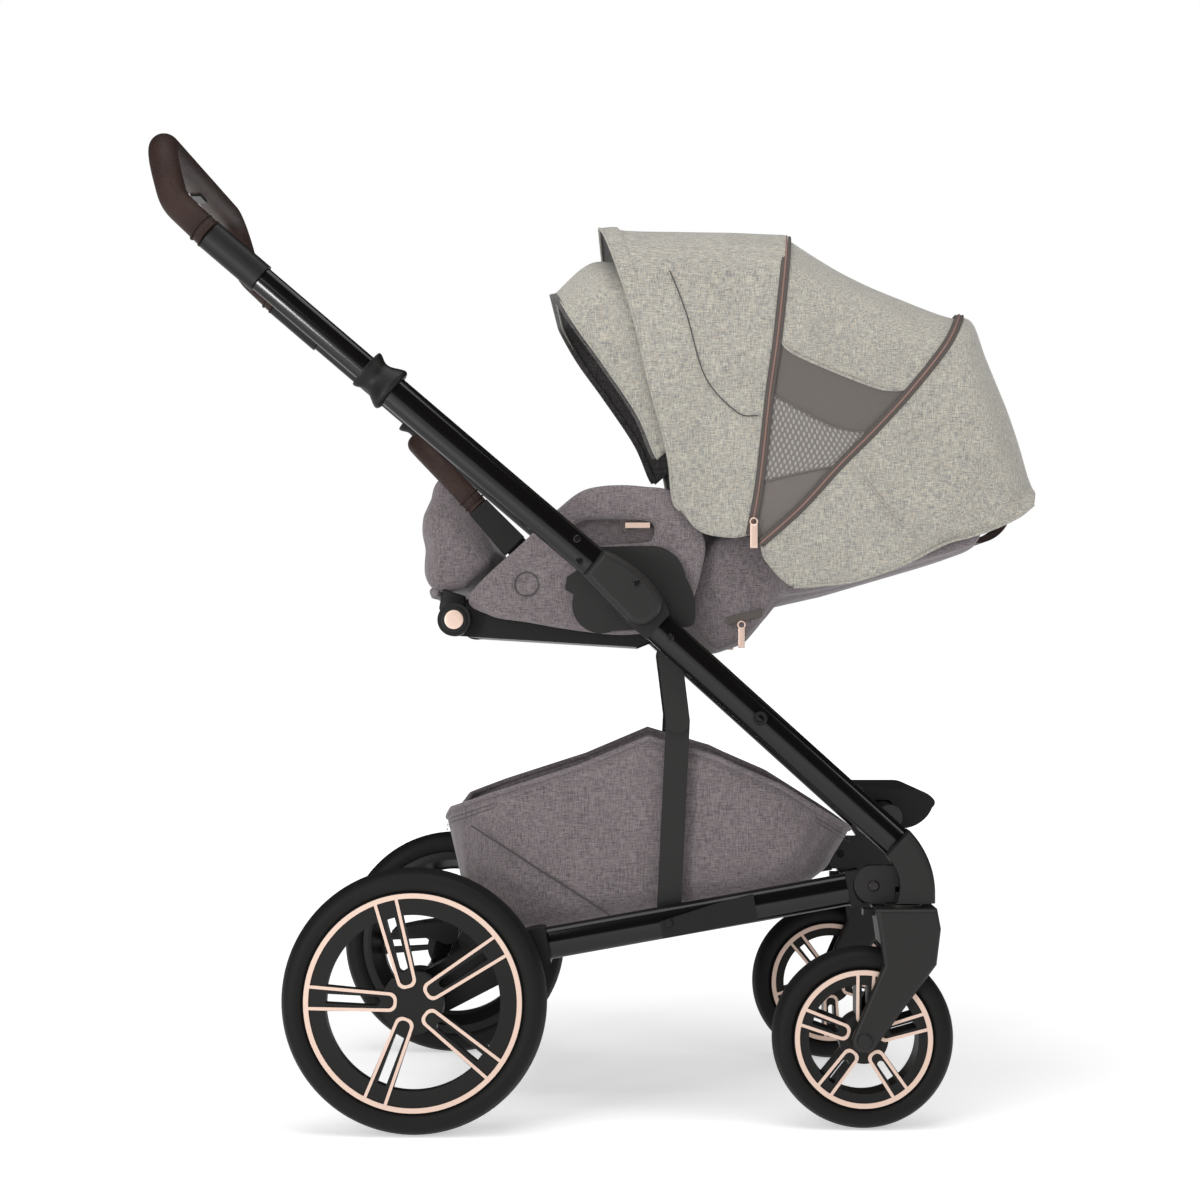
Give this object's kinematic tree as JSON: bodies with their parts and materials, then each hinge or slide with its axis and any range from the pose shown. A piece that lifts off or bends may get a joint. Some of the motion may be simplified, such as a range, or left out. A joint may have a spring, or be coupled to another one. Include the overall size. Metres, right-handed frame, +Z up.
{
  "type": "baby stroller",
  "caption": "Folding baby stroller: telescoping push handle, reclining seat with windowed canopy, bumper bar, calf rest, shopping basket, swivelling front wheels and spoked rear wheels.",
  "frame": {"origin": "middle of the footprint, on the floor", "axes": "+X from the push handle towards the front casters, +Y towards the left hand of whoever pushes, +Z up"},
  "size_m": [1.0085, 0.596, 1.1145],
  "materials": {
    "black_tube": "gloss",
    "black_plastic": "satin",
    "copper_trim": "satin",
    "steel": "satin",
    "tyre_rubber": "matte",
    "leather": "satin",
    "seat_cloth": "matte",
    "canopy_cloth": "matte"
  },
  "bodies": {
    "front_frame": {"leg_tube_right": "black_tube", "leg_hub_right": "black_plastic", "elbow_right": "black_plastic", "leg_tube_left": "black_tube", "leg_hub_left": "black_plastic", "elbow_left": "black_plastic", "front_cross_tube": "black_tube", "footplate": "black_plastic", "accessory_sockets": "black_plastic", "frame_screws": "steel"},
    "push_arm": {"arm_tube_right": "black_tube", "arm_hub_cover_right": "black_plastic", "arm_tube_left": "black_tube", "arm_hub_cover_left": "black_plastic", "telescope_collars": "black_plastic", "arm_screws": "steel"},
    "handle": {"inner_tube_right": "black_tube", "inner_tube_left": "black_tube", "handle_collars": "leather", "handle_grip": "leather"},
    "handle_button": {"handle_button": "black_plastic"},
    "rear_frame": {"side_rail_right": "black_tube", "side_rail_left": "black_tube", "rail_collars": "black_plastic", "axle_housings": "black_plastic", "strut_brackets": "black_plastic", "rear_axle": "steel", "basket": "seat_cloth"},
    "brake_pedal": {"brake_pedal": "black_plastic"},
    "strut_lower": {"lower_struts": "black_tube"},
    "strut_upper": {"upper_struts": "black_tube"},
    "seat": {"seat_frame": "black_tube", "seat_hub_plates": "black_plastic", "seat_shell": "seat_cloth", "seat_pad": "seat_cloth"},
    "release_buttons": {"release_buttons": "copper_trim"},
    "bumper_bar": {"bumper_grip": "leather", "bumper_clips": "black_plastic"},
    "calf_rest": {"calf_rest": "seat_cloth"},
    "backrest": {"backrest": "seat_cloth", "canopy_rear": "canopy_cloth"},
    "recline_handle": {"recline_handle": "black_plastic"},
    "canopy": {"canopy_front": "canopy_cloth"},
    "visor": {"canopy_visor": "canopy_cloth"},
    "rear_wheel_right": {"rear_tyre_right": "tyre_rubber", "rear_rim_right": "black_plastic", "rear_trim_right": "copper_trim"},
    "caster_right": {"caster_fork_right": "black_plastic"},
    "caster_lock_right": {"caster_lock_right": "black_plastic"},
    "front_wheel_right": {"front_tyre_right": "tyre_rubber", "front_rim_right": "black_plastic", "front_trim_right": "copper_trim"},
    "rear_wheel_left": {"rear_tyre_left": "tyre_rubber", "rear_rim_left": "black_plastic", "rear_trim_left": "copper_trim"},
    "caster_left": {"caster_fork_left": "black_plastic"},
    "caster_lock_left": {"caster_lock_left": "black_plastic"},
    "front_wheel_left": {"front_tyre_left": "tyre_rubber", "front_rim_left": "black_plastic", "front_trim_left": "copper_trim"}
  },
  "joints": [
    {"name": "fold", "type": "hinge", "parent": "front_frame", "child": "push_arm", "pos_m": [0.049, 0, 0.581], "axis": [0, 1, 0], "range_deg": [0, 150]},
    {"name": "rear_fold", "type": "hinge", "parent": "front_frame", "child": "rear_frame", "pos_m": [0.309, 0, 0.266], "axis": [0, 1, 0], "range_deg": [0, 36], "deforming": ["basket"]},
    {"name": "strut_upper_turn", "type": "hinge", "parent": "front_frame", "child": "strut_upper", "pos_m": [0.084, 0, 0.522], "axis": [0, 1, 0], "range_deg": [-130, 0]},
    {"name": "strut_lower_turn", "type": "hinge", "parent": "rear_frame", "child": "strut_lower", "pos_m": [0.082, 0, 0.225], "axis": [0, 1, 0], "range_deg": [-28, 0]},
    {"name": "handle_slide", "type": "slide", "parent": "push_arm", "child": "handle", "axis": [-0.759, 0, 0.651], "range_m": [-0.11, 0]},
    {"name": "handle_press", "type": "slide", "parent": "handle", "child": "handle_button", "axis": [0, 0, 1], "range_m": [0, 0.003], "stiffness_N_per_m": 400},
    {"name": "brake_press", "type": "hinge", "parent": "rear_frame", "child": "brake_pedal", "pos_m": [-0.181, 0, 0.189], "axis": [0, 1, 0], "range_deg": [-25, 0]},
    {"name": "seat_lift", "type": "slide", "parent": "front_frame", "child": "seat", "axis": [0, 0, 1], "range_m": [0, 0.12]},
    {"name": "seat_release", "type": "slide", "parent": "seat", "child": "release_buttons", "axis": [0, 0, 1], "range_m": [0, 0.003], "stiffness_N_per_m": 400},
    {"name": "bumper_pull", "type": "slide", "parent": "seat", "child": "bumper_bar", "axis": [-0.6601, 0, 0.7511], "range_m": [0, 0.06]},
    {"name": "calf_rest_turn", "type": "hinge", "parent": "seat", "child": "calf_rest", "pos_m": [-0.16, 0, 0.562], "axis": [0, 1, 0], "range_deg": [-90, 0]},
    {"name": "recline", "type": "hinge", "parent": "seat", "child": "backrest", "pos_m": [0.049, 0, 0.581], "axis": [0, 1, 0], "range_deg": [-42, 0]},
    {"name": "recline_squeeze", "type": "hinge", "parent": "backrest", "child": "recline_handle", "pos_m": [0.449, 0, 0.657], "axis": [0, 1, 0], "range_deg": [0, 12], "stiffness_Nm_per_rad": 1},
    {"name": "canopy_fold", "type": "hinge", "parent": "backrest", "child": "canopy", "pos_m": [0.18, 0, 0.65], "axis": [0, 1, 0], "range_deg": [0, 22]},
    {"name": "visor_tuck", "type": "hinge", "parent": "canopy", "child": "visor", "pos_m": [0.18, 0, 0.65], "axis": [0, 1, 0], "range_deg": [0, 6]},
    {"name": "rear_wheel_right_spin", "type": "hinge", "parent": "rear_frame", "child": "rear_wheel_right", "pos_m": [-0.196, -0.275, 0.145], "axis": [0, 1, 0], "continuous": true},
    {"name": "caster_right_swivel", "type": "hinge", "parent": "front_frame", "child": "caster_right", "pos_m": [0.3414, -0.2305, 0.247], "axis": [0, 0, 1], "continuous": true},
    {"name": "front_wheel_right_spin", "type": "hinge", "parent": "caster_right", "child": "front_wheel_right", "pos_m": [0.2954, -0.2305, 0.1], "axis": [0, 1, 0], "continuous": true},
    {"name": "caster_lock_right_slide", "type": "slide", "parent": "caster_right", "child": "caster_lock_right", "axis": [1, 0, 0], "range_m": [0, 0.005]},
    {"name": "rear_wheel_left_spin", "type": "hinge", "parent": "rear_frame", "child": "rear_wheel_left", "pos_m": [-0.196, 0.275, 0.145], "axis": [0, 1, 0], "continuous": true},
    {"name": "caster_left_swivel", "type": "hinge", "parent": "front_frame", "child": "caster_left", "pos_m": [0.3414, 0.2305, 0.247], "axis": [0, 0, 1], "continuous": true},
    {"name": "front_wheel_left_spin", "type": "hinge", "parent": "caster_left", "child": "front_wheel_left", "pos_m": [0.2954, 0.2305, 0.1], "axis": [0, 1, 0], "continuous": true},
    {"name": "caster_lock_left_slide", "type": "slide", "parent": "caster_left", "child": "caster_lock_left", "axis": [1, 0, 0], "range_m": [0, 0.005]}
  ],
  "couplings": [
    {"joint": "rear_fold", "follows": "fold", "ratio": 0.24},
    {"joint": "strut_upper_turn", "follows": "fold", "ratio": -0.864},
    {"joint": "strut_lower_turn", "follows": "fold", "ratio": -0.186}
  ]
}
